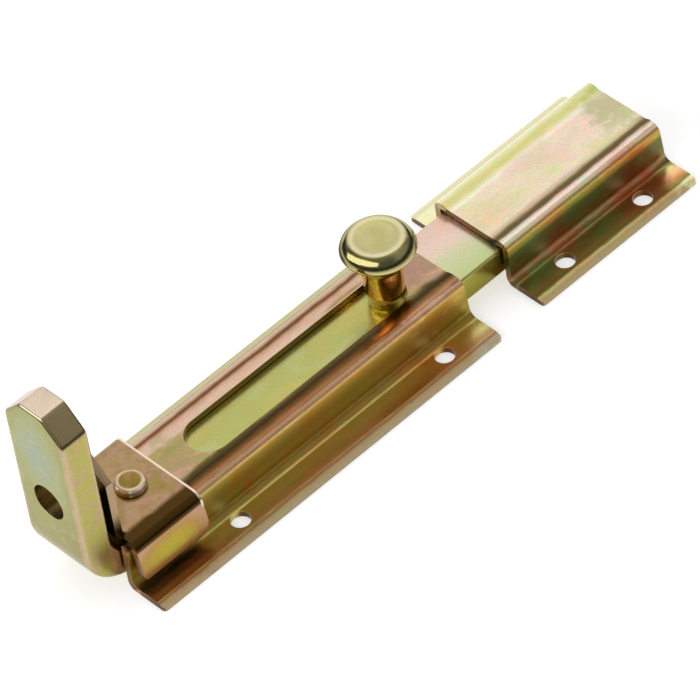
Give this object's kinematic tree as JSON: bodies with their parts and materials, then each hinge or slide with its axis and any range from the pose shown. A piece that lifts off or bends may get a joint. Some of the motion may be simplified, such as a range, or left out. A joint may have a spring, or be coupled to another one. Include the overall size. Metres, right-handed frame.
{
  "type": "padbolt",
  "caption": "Flat sliding bolt in a pressed case, bent up at one end into a padlock lug beside a riveted saddle, with a turned knob and a separate pressed keep.",
  "frame": {"origin": "centre of the case's four screw holes, on the mounting surface", "axes": "+X along the bolt towards the keep, +Z away from the mounting surface, +Y across"},
  "size_m": [0.1893, 0.046, 0.0615],
  "materials": {
    "passivated_sheet": "glossy yellow passivated zinc plate on pressed steel sheet, iridescent",
    "passivated_saddle": "glossy yellow passivated zinc plate on bent steel sheet",
    "passivated_bar": "glossy yellow passivated zinc plate on flat steel bar, pale green and pink sheen",
    "passivated_turned": "bright yellow passivated zinc plate on turned steel"
  },
  "bodies": {
    "mounting": {"case": "passivated_sheet", "saddle": "passivated_saddle", "saddle_rivet": "passivated_turned", "keep": "passivated_sheet"},
    "bolt": {"bolt_bar": "passivated_bar", "knob": "passivated_turned", "knob_screw": "passivated_turned"}
  },
  "joints": [
    {"name": "bolt_slide", "type": "slide", "parent": "mounting", "child": "bolt", "axis": [-1, 0, 0], "range_m": [0, 0.06]}
  ]
}
